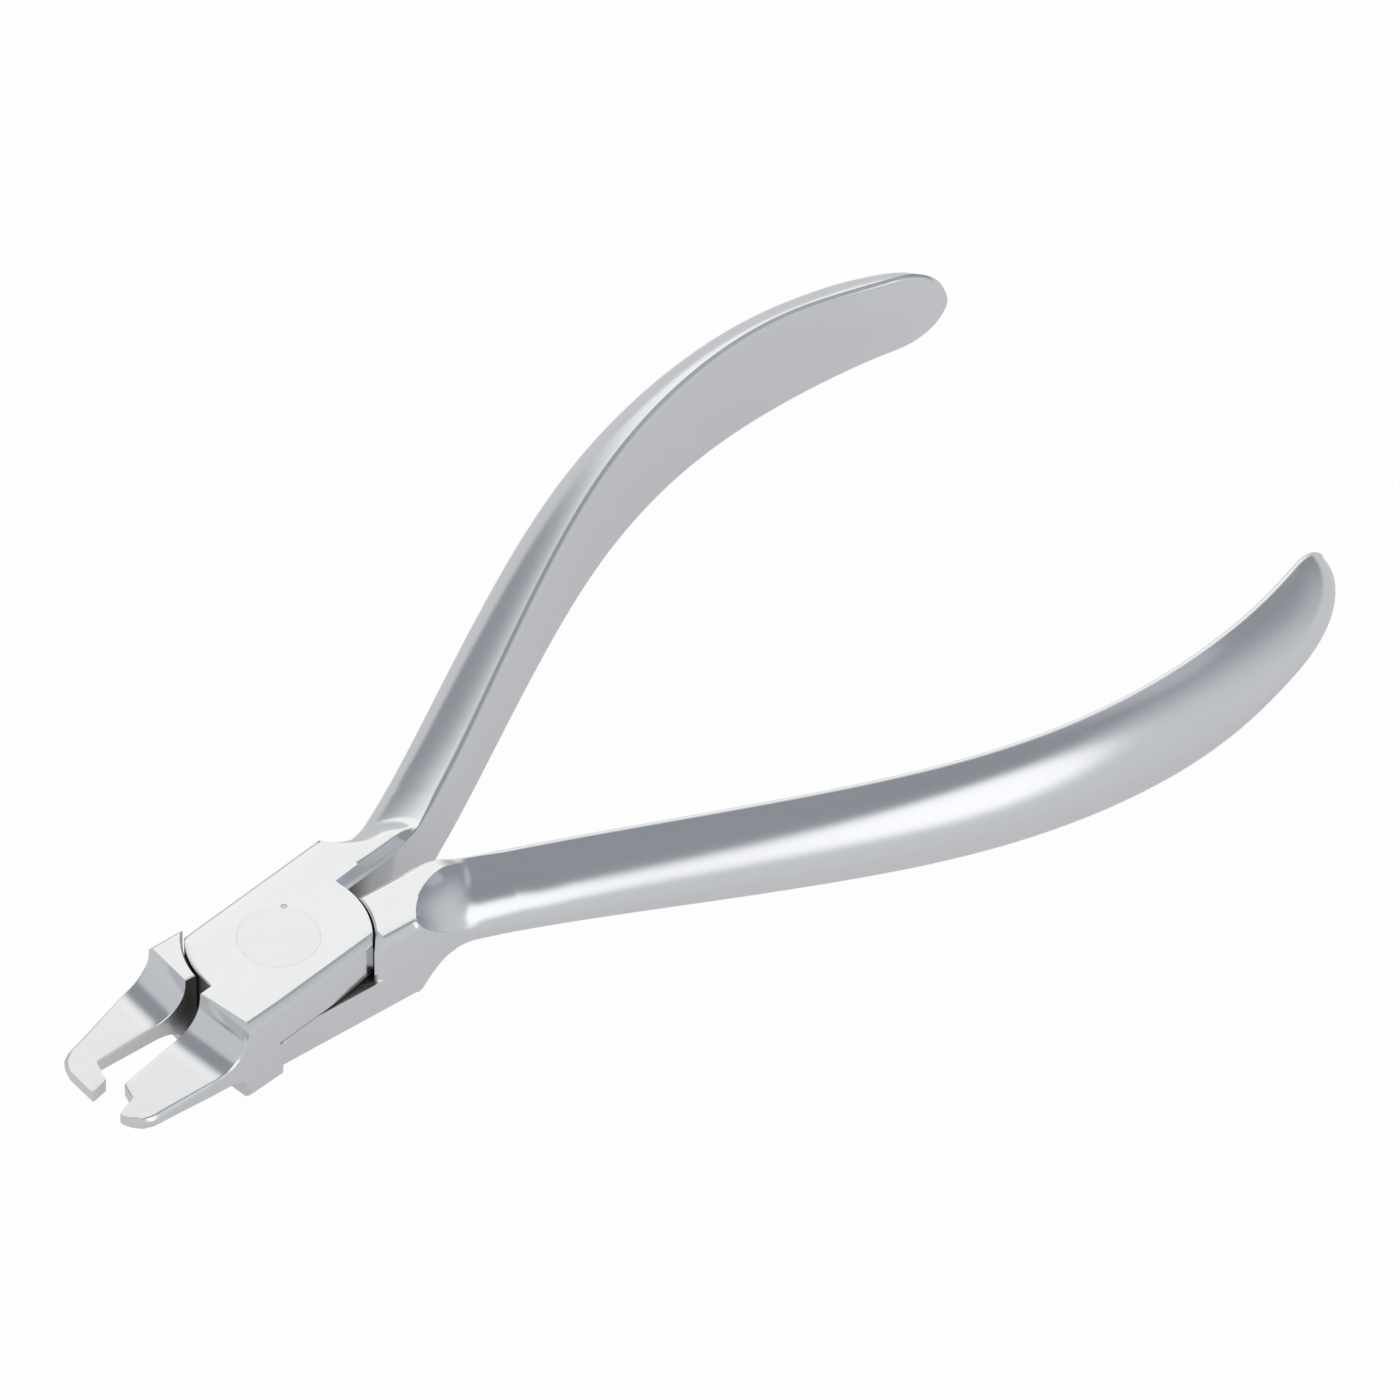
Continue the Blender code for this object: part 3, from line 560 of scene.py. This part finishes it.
def half_tree(surface):
    """Build the group that lofts one half through its sections."""
    sizes = {label: ("Float", value) for label, value in ROOT_SIZES.items()}
    tree, given, result = new_tree(
        "forged_half", "GeometryNodeTree",
        {"Sections": ("Geometry", None), "Profile": ("Object", None), "Section Count": ("Int", 2),
         "Profile Count": ("Int", 3), "Edge Rounding": ("Float", 1.0),
         "Merge Distance": ("Float", MERGE_DISTANCE), "Material": ("Material", None), **sizes},
        {"Half": ("Geometry", None)})
    sheet = add_node(tree, "GeometryNodeMeshGrid", {"Vertices X": given.outputs["Section Count"],
                                                    "Vertices Y": given.outputs["Profile Count"]})
    index = Term(tree, add_node(tree, "GeometryNodeInputIndex").outputs[0])
    columns = Term(tree, given.outputs["Profile Count"])
    row = ((index + 0.5) / columns).math("FLOOR")
    column = index - row * columns
    profile = add_node(tree, "GeometryNodeObjectInfo", {"Object": given.outputs["Profile"]})

    def sampled(points, at, name, data_type="FLOAT"):
        """Read a section's or a profile point's attribute."""
        stored = add_node(tree, "GeometryNodeInputNamedAttribute", {"Name": name}, data_type=data_type)
        value = next(socket for socket in stored.outputs if socket.enabled)
        sample = add_node(tree, "GeometryNodeSampleIndex", {"Geometry": points, "Index": at.socket},
                          data_type=data_type, domain="POINT")
        into = next(socket for socket in sample.inputs if socket.name == "Value" and socket.enabled)
        wire(tree, value, into)
        return next(socket for socket in sample.outputs if socket.enabled)

    def section(name):
        return Term(tree, sampled(given.outputs["Sections"], row, name))

    def point(name):
        return Term(tree, sampled(profile.outputs["Geometry"], column, name))

    near = sampled(given.outputs["Sections"], row, "near", "FLOAT_VECTOR")
    along = sampled(given.outputs["Sections"], row, "along", "FLOAT_VECTOR")
    width, flat, crown = section("width"), section("flat"), section("crown")
    strip, rim = section("strip"), section("rim")

    def place_at(across):
        """Return the plan position at a distance across the section."""
        step = add_node(tree, "ShaderNodeVectorMath", {0: along, "Scale": across.socket}, operation="SCALE")
        place = add_node(tree, "ShaderNodeVectorMath", {0: near, 1: step.outputs[0]}, operation="ADD")
        return place.outputs[0]

    def height_at(across):
        """Return the half height at a distance across the section."""
        share = across / width
        node = add_node(tree, "GeometryNodeGroup", node_tree=surface)
        wire(tree, place_at(across), node.inputs["Place"])
        wire(tree, share.socket, node.inputs["Share"])
        wire(tree, section("crown_top").socket, node.inputs["Top"])
        for label in ROOT_SIZES:
            wire(tree, given.outputs[label], node.inputs[label])
        # The bevelled strip is narrower on the side away from the lap plate
        under = point("side").below(0.0) * (STRIP_WIDTH - UNDER_STRIP_WIDTH)
        wire(tree, (Term(tree, given.outputs["Strip Start"]) + under).socket, node.inputs["Strip Start"])
        plain = section("near_top").mixed(section("far_top"), share)
        return Term(tree, node.outputs[0]).mixed(plain, flat)

    near_edge = section("near_edge")
    far_top = height_at(width)
    limit = far_top - Term(tree, given.outputs["Half Thickness"]) + section("far_edge")
    far_edge = limit.above(ARC_EDGE_CHAMFER).mixed(section("far_edge"), flat)
    # Where the crown comes down to nothing at its outer side, there is no outer edge
    has_far_edge = far_top.math("GREATER_THAN", far_edge)
    far_edge = far_edge * has_far_edge

    softness = flat.flipped() * Term(tree, given.outputs["Edge Rounding"])
    inner_in = point("bevel_in").mixed(point("round_in"), softness)
    inner_down = point("bevel_down").mixed(point("round_down"), softness)
    # The top's points are spread from the inner edge to the strip's line, the scoop's rim and the outer edge
    span = width - near_edge - far_edge
    strip_end = (strip * width - near_edge).above(0.0)
    rim_end = (rim * width - near_edge).below(span)
    block_run = strip_end * point("strip_share") + (rim_end - strip_end) * point("plain_share")
    block_run += (span - rim_end) * point("scoop_share")
    top_run = block_run.mixed(span * point("crown_anchor"), crown)
    across = near_edge * inner_in + top_run + far_edge * point("outer_in")
    long_edge_foot = Term(tree, given.outputs["Half Thickness"]) - LONG_EDGE_CHAMFER
    foot = (far_top - ARC_EDGE_CHAMFER).math("SMOOTH_MIN", long_edge_foot, FOOT_BLEND)
    outer_drop = (height_at(width - far_edge) - foot).mixed(far_edge, flat) * has_far_edge

    top_across = (near_edge + top_run).below(width)
    base = height_at(width * 0.0).mixed(height_at(top_across), point("top"))
    top = base - near_edge * inner_down - outer_drop * point("outer_down")
    top = top * point("middle").flipped() * section("rise")
    # The crown's last point and the outer edge meet at half height zero
    at_tip = point("scoop_share").math("GREATER_THAN", LAST_SHARE) * has_far_edge.flipped()
    top = top * at_tip.flipped() * point("side")
    spot = add_node(tree, "ShaderNodeVectorMath", {0: place_at(across)}, operation="ADD")
    lifted = add_node(tree, "ShaderNodeCombineXYZ", {2: top.socket})
    wire(tree, lifted.outputs[0], spot.inputs[1])
    shaped = add_node(tree, "GeometryNodeSetPosition", {"Geometry": sheet.outputs["Mesh"],
                                                        "Position": spot.outputs[0]})
    closed = add_node(tree, "GeometryNodeMergeByDistance", {"Geometry": shaped.outputs[0],
                                                            "Distance": given.outputs["Merge Distance"]})
    real = add_node(tree, "GeometryNodeRealizeInstances", {"Geometry": closed.outputs[0]})
    finished = add_node(tree, "GeometryNodeSetMaterial", {"Geometry": real.outputs[0],
                                                          "Material": given.outputs["Material"]})
    wire(tree, finished.outputs[0], result.inputs[0])
    return tree


def evaluated_mesh(piece):
    """Return the mesh that an object's modifiers make."""
    bpy.context.view_layer.update()
    graph = bpy.context.evaluated_depsgraph_get()
    return bpy.data.meshes.new_from_object(piece.evaluated_get(graph))


def set_inputs(modifier, values):
    """Set a Geometry Nodes modifier's inputs by the names of its tree's sockets."""
    for item in modifier.node_group.interface.items_tree:
        if item.item_type == "SOCKET" and item.in_out == "INPUT" and item.name in values:
            modifier[item.identifier] = values[item.name]


def millimetre_place(tree, coordinates):
    """Return an object's own coordinates in millimetres, as one vector and as x, y and z."""
    place = add_node(tree, "ShaderNodeVectorMath", {0: coordinates.outputs["Object"], "Scale": 1 / MM},
                     operation="SCALE").outputs[0]
    parts = add_node(tree, "ShaderNodeSeparateXYZ", {0: place})
    return place, [Term(tree, parts.outputs[k]) for k in range(3)]


def grain_group():
    """Build the shader group of fine brushing: lines along X, and faint soft stains."""
    tree, given, result = new_tree(
        "brushing", "ShaderNodeTree",
        {"Line Length": ("Float", 4.0), "Line Width": ("Float", 0.12), "Stain Size": ("Float", 18.0)},
        {"Lines": ("Float", 0.0), "Stains": ("Float", 0.0)})
    place, (x, y, z) = millimetre_place(tree, add_node(tree, "ShaderNodeTexCoord"))
    length, width = Term(tree, given.outputs["Line Length"]), Term(tree, given.outputs["Line Width"])
    stretched = add_node(tree, "ShaderNodeCombineXYZ",
                         {0: (x / length).socket, 1: (y / width).socket, 2: (z / width).socket})
    lines = add_node(tree, "ShaderNodeTexNoise",
                     {"Vector": stretched.outputs[0], "Scale": 1.0, "Detail": 3.0})
    stain_scale = Term(tree, given.outputs["Stain Size"]).math("POWER", -1.0)
    stains = add_node(tree, "ShaderNodeTexNoise",
                      {"Vector": place, "Scale": stain_scale.socket, "Detail": 2.0})
    wire(tree, lines.outputs[0], result.inputs["Lines"])
    wire(tree, stains.outputs[0], result.inputs["Stains"])
    return tree


brushing = grain_group()

# The painted shade in the joint: the colour is darkened and tinted brown in the gaps, on the lap and in the
# two crotches, where shade falls. Each pair is where its mask starts and where it is full: depths, distances
# and heights in millimetres, and for the two leans the size of the surface normal along z and along y.
PAINTED_SHADE_TINT = (0.36, 0.33, 0.31)
PAINTED_SHADE_ROUGHNESS = 0.45
UNSHADED_RIM = (0.08, 0.3)
WALL_SHADE = (0.32, 0.1)
WALL_ENDS = (6.1, 5.7)
CROTCH_FOOT = 0.2
CROTCH_SIDES = (3.4, 1.8)
CROTCH_STRENGTH = 0.85
UPRIGHT_LEAN = (0.6, 0.2)
SIDEWAYS_LEAN = (0.6, 0.85)
LAP_MOUTH = (0.5, 0.1)
LAP_SHADE = (0.2, 0.12)
# The wedge that opens between the two plates' sides, up to the ground relief of the plate's corner, gets
# painted shade
RELIEF_START = 1.6
RELIEF_RISE = 0.17
WEDGE_TOP = (0.16, 0.06)
WEDGE_FOOT = (-0.16, -0.1)
WEDGE_FADE_LENGTH = 0.8


def painted_joint_shade_group():
    """Build the shader group of the painted shade in the joint: the lap, the arc walls and the two crotches.
    """
    tree, given, result = new_tree(
        "painted_joint_shade", "ShaderNodeTree",
        {"Middle Height": ("Float", HALF_THICKNESS), "Wall Radius": ("Float", PLATE_RADIUS + 0.1),
         "Crotch Radius": ("Float", 13.0)},
        {"Painted Shade": ("Float", 0.0)})
    size = {socket.name: Term(tree, socket) for socket in given.outputs if socket.name}
    coordinates = add_node(tree, "ShaderNodeTexCoord")
    _, (x, y, z) = millimetre_place(tree, coordinates)
    facing = add_node(tree, "ShaderNodeSeparateXYZ", {0: coordinates.outputs["Normal"]})

    def ramp(value, start, end):
        """Return 0 to 1 as the value goes from its start to its end, smoothly."""
        numbers = {"From Min": start, "From Max": end, "Value": value}
        node = add_node(tree, "ShaderNodeMapRange",
                        {key: number.socket if isinstance(number, Term) else number
                         for key, number in numbers.items()}, interpolation_type="SMOOTHSTEP")
        return Term(tree, node.outputs[0])

    radius = (x * x + y * y).math("SQRT")
    height = (z - size["Middle Height"]).math("ABSOLUTE")
    aside = y.math("ABSOLUTE")
    wall_distance = (radius - size["Wall Radius"]).math("ABSOLUTE")
    below_top = ramp(height, HALF_THICKNESS - UNSHADED_RIM[0], HALF_THICKNESS - UNSHADED_RIM[1])
    walls = ramp(wall_distance, *WALL_SHADE) * below_top * ramp(aside, *WALL_ENDS)
    crotch = ramp(radius, size["Crotch Radius"], size["Wall Radius"] + CROTCH_FOOT)
    upright = ramp(Term(tree, facing.outputs[2]).math("ABSOLUTE"), *UPRIGHT_LEAN)
    sideways = ramp(Term(tree, facing.outputs[1]).math("ABSOLUTE"), *SIDEWAYS_LEAN)
    crotch = crotch * ramp(aside, *CROTCH_SIDES) * below_top * upright * sideways * CROTCH_STRENGTH
    inside = ramp(radius, size["Wall Radius"] + LAP_MOUTH[0], size["Wall Radius"] + LAP_MOUTH[1])
    lap = ramp(height, *LAP_SHADE) * inside
    nearer = (y * -1.0).math("SIGN") * (z - size["Middle Height"])
    wedge_top = (x - RELIEF_START) * RELIEF_RISE
    wedge = ramp(nearer - wedge_top, *WEDGE_TOP) * ramp(nearer, *WEDGE_FOOT)
    wedge = wedge * ramp(x, RELIEF_START, RELIEF_START + WEDGE_FADE_LENGTH)
    lap = lap.above(wedge * inside)
    wire(tree, walls.above(crotch).above(lap).socket, result.inputs[0])
    return tree


painted_joint_shade = painted_joint_shade_group()
GRAIN_RANGE = (0.3, 0.7)
TONE_CHANGE = 0.025


def steel(name, colour, roughness, roughness_change, line_depth):
    """Make a brushed steel whose gloss and tone change a little over the surface, with painted shade in the
    joint.
    """
    material = bpy.data.materials.new(name)
    material.use_nodes = True
    tree = material.node_tree
    shader = tree.nodes["Principled BSDF"]
    shader.inputs["Metallic"].default_value = 1.0
    grain = add_node(tree, "ShaderNodeGroup", node_tree=brushing)
    spread = add_node(tree, "ShaderNodeMapRange",
                      {"Value": grain.outputs["Lines"],
                       "From Min": GRAIN_RANGE[0], "From Max": GRAIN_RANGE[1],
                       "To Min": roughness - roughness_change, "To Max": roughness + roughness_change})
    darker, lighter = ([min(c * (1 + change), 1) for c in colour] for change in (-TONE_CHANGE, TONE_CHANGE))
    tone = add_node(tree, "ShaderNodeMix", {0: grain.outputs["Stains"], 6: (*darker, 1), 7: (*lighter, 1)},
                    data_type="RGBA")
    # Painted shade: where the joint mask is full, the colour is darkened and tinted brown, and the steel is
    # rougher
    joint_shade_mask = add_node(tree, "ShaderNodeGroup", node_tree=painted_joint_shade)
    shaded_colour = add_node(tree, "ShaderNodeMix", {0: joint_shade_mask.outputs[0], 6: tone.outputs[2],
                                               7: (*(c * f for c, f in zip(colour, PAINTED_SHADE_TINT)), 1)},
                       data_type="RGBA")
    wire(tree, shaded_colour.outputs[2], shader.inputs["Base Color"])
    dulled = add_node(tree, "ShaderNodeMix", {0: joint_shade_mask.outputs[0], 2: spread.outputs[0], 3: PAINTED_SHADE_ROUGHNESS})
    wire(tree, dulled.outputs[0], shader.inputs["Roughness"])
    bump = add_node(tree, "ShaderNodeBump", {"Height": grain.outputs["Lines"], "Strength": 1.0,
                                             "Distance": line_depth * MM})
    wire(tree, bump.outputs[0], shader.inputs["Normal"])
    return material


def make_facet(name, point, normal, reach):
    """Make a block that takes off everything beyond a plane, within a reach of a point of the plane."""
    mesh = bpy.data.meshes.new(name)
    body = bmesh.new()
    bmesh.ops.create_cube(body, size=2 * reach)
    turn = Vector(normal).to_track_quat("Z", "Y").to_matrix().to_4x4()
    bmesh.ops.transform(body, verts=body.verts,
                        matrix=Matrix.Translation(point) @ turn @ Matrix.Translation((0, 0, reach)))
    body.to_mesh(mesh)
    body.free()
    return bpy.data.objects.new(name, mesh)


RIVET_HEAD_RADIUS = 4.0
RIVET_SHANK_RADIUS = 2.5
RIVET_HEAD_DEPTH = 1.6
RIVET_GAP = 0.015
ROUND_FACETS = 128
CUT_OVERSHOOT = 1.0


def make_turned(name, profile, facets):
    """Make a closed solid of revolution about Z from its (radius, height) profile, top to bottom."""
    mesh = bpy.data.meshes.new(name)
    body = bmesh.new()
    rings = []
    for radius, height in profile:
        if radius == 0:
            rings.append([body.verts.new((0, 0, height))])
        else:
            rings.append([body.verts.new((radius * math.cos(2 * math.pi * k / facets),
                                          radius * math.sin(2 * math.pi * k / facets), height))
                          for k in range(facets)])
    for upper, lower in zip(rings, rings[1:]):
        for k in range(facets):
            following = (k + 1) % facets
            corners = [upper[k % len(upper)], lower[k % len(lower)], lower[following % len(lower)],
                       upper[following % len(upper)]]
            body.faces.new(list(dict.fromkeys(corners)))
    bmesh.ops.recalc_face_normals(body, faces=body.faces)
    body.to_mesh(mesh)
    body.free()
    return bpy.data.objects.new(name, mesh)


def rivet_outline(gap, overshoot):
    """Return the outline of the rivet, or of its bore with a gap that runs past both faces."""
    head, shank = RIVET_HEAD_RADIUS + gap, RIVET_SHANK_RADIUS + gap
    neck = HALF_THICKNESS - RIVET_HEAD_DEPTH
    top = [(0, HALF_THICKNESS + overshoot), (head, HALF_THICKNESS + overshoot)]
    if overshoot:
        top.append((head, HALF_THICKNESS))
    top.append((shank, neck))
    return top + [(radius, -height) for radius, height in reversed(top)]


def cut(body, cutters):
    """Cut solids from an object's mesh."""
    for cutter in cutters:
        bpy.context.scene.collection.objects.link(cutter)
        modifier = body.modifiers.new("cut", "BOOLEAN")
        modifier.operation = "DIFFERENCE"
        modifier.solver = "EXACT"
        modifier.object = cutter
    cut_mesh = evaluated_mesh(body)
    finish = next(material for material in cut_mesh.materials if material)
    cut_mesh.materials.clear()
    cut_mesh.materials.append(finish)
    cut_mesh.polygons.foreach_set("material_index", [0] * len(cut_mesh.polygons))
    body.modifiers.clear()
    body.data = cut_mesh
    for cutter in cutters:
        bpy.data.objects.remove(cutter)


PIN_RADIUS = 0.3
PIN_LENGTH = 2.4
PIN_ANGLE = math.radians(38)
PIN_FACETS = 32
PIN_SIDE_GAP = 0.01
PIN_END_GAP = 0.02
pin_x, pin_y = RIVET_HEAD_RADIUS * math.cos(PIN_ANGLE), RIVET_HEAD_RADIUS * math.sin(PIN_ANGLE)


def make_pin_hole():
    """Make the hole that is drilled across the rim of the rivet."""
    radius, mouth = PIN_RADIUS + PIN_SIDE_GAP, HALF_THICKNESS + CUT_OVERSHOOT
    foot = HALF_THICKNESS - PIN_LENGTH - PIN_END_GAP
    hole = make_turned("pin_hole", [(0, mouth), (radius, mouth), (radius, foot), (0, foot)], PIN_FACETS)
    hole.data.transform(Matrix.Translation((pin_x, pin_y, 0)))
    return hole


RECESS_FACETS = 192
RECESS_FLARE = 0.2
# Ground facets, each with a point of its plane, the plane's normal, and how far the cut reaches: the root
# block's front corner on top and along its side, the top of the jaw's scoop, and the lap plate's lower corner
FACETS = {
    "corner_top": ((7.94, 5.0, -HALF_THICKNESS), (-0.59, 0.0, -0.81), 3.0),
    "corner_side": ((7.46, JOINT_HALF_WIDTH, -2.5), (-0.29, 0.957, 0.0), 2.6),
    "scoop_top": ((0.28 - BLOCK_REACH, -3.3, HALF_THICKNESS), (-0.79, -0.05, 0.61), 4.0),
    "relief": ((5.9, -JOINT_HALF_WIDTH, 0.75), (0.131, -0.602, -0.787), 4.4),
}
# The rear corner of the hooked jaw's block
BLOCK_CORNER = ((-6.84, -BLOCK_HALF_WIDTH, -2.5), (0.8, -0.6, 0.0), 2.6)


def make_recess():
    """Make the round recess in which the other half's plate turns, with the flare of its mouth."""
    wall = PLATE_RADIUS + ARC_CLEARANCE
    beyond = -HALF_THICKNESS - CUT_OVERSHOOT
    solid = make_turned("recess", [(0, LAP_CLEARANCE / 2), (wall, LAP_CLEARANCE / 2),
                                   (wall, RECESS_FLARE - HALF_THICKNESS),
                                   (wall + RECESS_FLARE + CUT_OVERSHOOT, beyond), (0, beyond)], RECESS_FACETS)
    solid.data.transform(Matrix.Rotation(math.pi / RECESS_FACETS, 4, "Z"))
    return solid


satin = steel("satin_stainless", colour=(0.8, 0.805, 0.81), roughness=0.18, roughness_change=0.015,
              line_depth=0.0004)
profile_rows = profile_points()
profile_object = bpy.data.objects.new("section_profile", attribute_mesh("section_profile", profile_rows))
bpy.context.scene.collection.objects.link(profile_object)
loft_tree = half_tree(surface_tree())
PLACES = {"upper": Matrix.Rotation(math.radians(OPEN_ANGLE / 2), 4, "Z"),
          "lower": Matrix.Rotation(math.radians(-OPEN_ANGLE / 2), 4, "Z") @ Matrix.Rotation(math.pi, 4, "X")}


def place_piece(piece, body):
    """Bring a piece from its half's own millimetres to its place in the object."""
    lift = Matrix.Translation((0, 0, HALF_THICKNESS * MM))
    piece.data.transform(lift @ PLACES[body] @ Matrix.Scale(MM, 4))


for form, node, body in ((NOTCHED_HALF, "upper_half", "upper"), (HOOKED_HALF, "lower_half", "lower")):
    sections = jaw_sections(form) + plate_sections(form) + handle_sections(form["handle_end"])
    half = bpy.data.objects.new("forged_" + body, attribute_mesh("forged_" + body, sections))
    bpy.context.scene.collection.objects.link(half)
    loft = half.modifiers.new("loft", "NODES")
    loft.node_group = loft_tree
    set_inputs(loft, {"Profile": profile_object, "Section Count": len(sections),
                      "Profile Count": len(profile_rows), "Material": satin, "Merge Distance": MERGE_DISTANCE,
                      "Edge Rounding": 1.0, **ROOT_SIZES})
    lofted = evaluated_mesh(half)
    half.modifiers.clear()
    half.data = lofted
    shell = bmesh.new()
    shell.from_mesh(lofted)
    bmesh.ops.dissolve_degenerate(shell, edges=shell.edges, dist=MERGE_DISTANCE / 2)
    bmesh.ops.recalc_face_normals(shell, faces=shell.faces)
    shell.to_mesh(lofted)
    shell.free()
    bore = make_turned("bore", rivet_outline(RIVET_GAP, CUT_OVERSHOOT), ROUND_FACETS)
    facets = [make_facet(name, *plane) for name, plane in FACETS.items()]
    own = make_pin_hole() if body == "upper" else make_facet("block_corner", *BLOCK_CORNER)
    cut(half, [make_recess(), bore, *facets, own])
    place_piece(half, body)
    half.data.shade_smooth()
    half.data.set_sharp_from_angle(angle=math.radians(SHARP_ANGLE))
    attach(half, body)
    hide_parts(node)
bpy.data.objects.remove(profile_object)


# Pivot rivet
# The axle of the tool is a steel rivet with coned heads, ground flush with both faces of the joint. It is
# locked to the upper half, and the lower half turns on it.
rivet_steel = steel("ground_rivet_steel", colour=(0.8, 0.8, 0.795), roughness=0.2, roughness_change=0.02,
                    line_depth=0.0004)
rivet = make_turned("pivot_rivet_head", rivet_outline(0, 0), ROUND_FACETS)
bpy.context.scene.collection.objects.link(rivet)
rivet.data.materials.append(rivet_steel)

# Lock pin
# A thin hardened pin driven in across the rivet's rim, half in the rivet and half in the upper forging.
# It keeps the rivet from turning in that half.
PIN_SET_BACK = 0.01
PIN_DOME_HEIGHT = 0.01
PIN_EDGE_WIDTH = 0.03
PIN_EDGE_DEPTH = 0.04
pin_steel = steel("pin_steel", colour=(0.68, 0.68, 0.67), roughness=0.3, roughness_change=0.05,
                  line_depth=0.001)
pin_top, pin_foot = HALF_THICKNESS - PIN_SET_BACK, HALF_THICKNESS - PIN_LENGTH
pin = make_turned("lock_pin_stud", [(0, pin_top), (PIN_RADIUS - PIN_EDGE_WIDTH, pin_top - PIN_DOME_HEIGHT),
                                    (PIN_RADIUS, pin_top - PIN_EDGE_DEPTH), (PIN_RADIUS, pin_foot),
                                    (0, pin_foot)], PIN_FACETS)
bpy.context.scene.collection.objects.link(pin)
pin.data.transform(Matrix.Translation((pin_x, pin_y, 0)))
pin.data.materials.append(pin_steel)
cut(rivet, [make_pin_hole()])
for piece, node, slot in ((rivet, "pivot_rivet", "rivet_steel"), (pin, "lock_pin", "pin_steel")):
    place_piece(piece, "upper")
    piece.data.shade_smooth()
    piece.data.set_sharp_from_angle(angle=math.radians(SHARP_ANGLE))
    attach(piece, "upper")
    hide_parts(node)
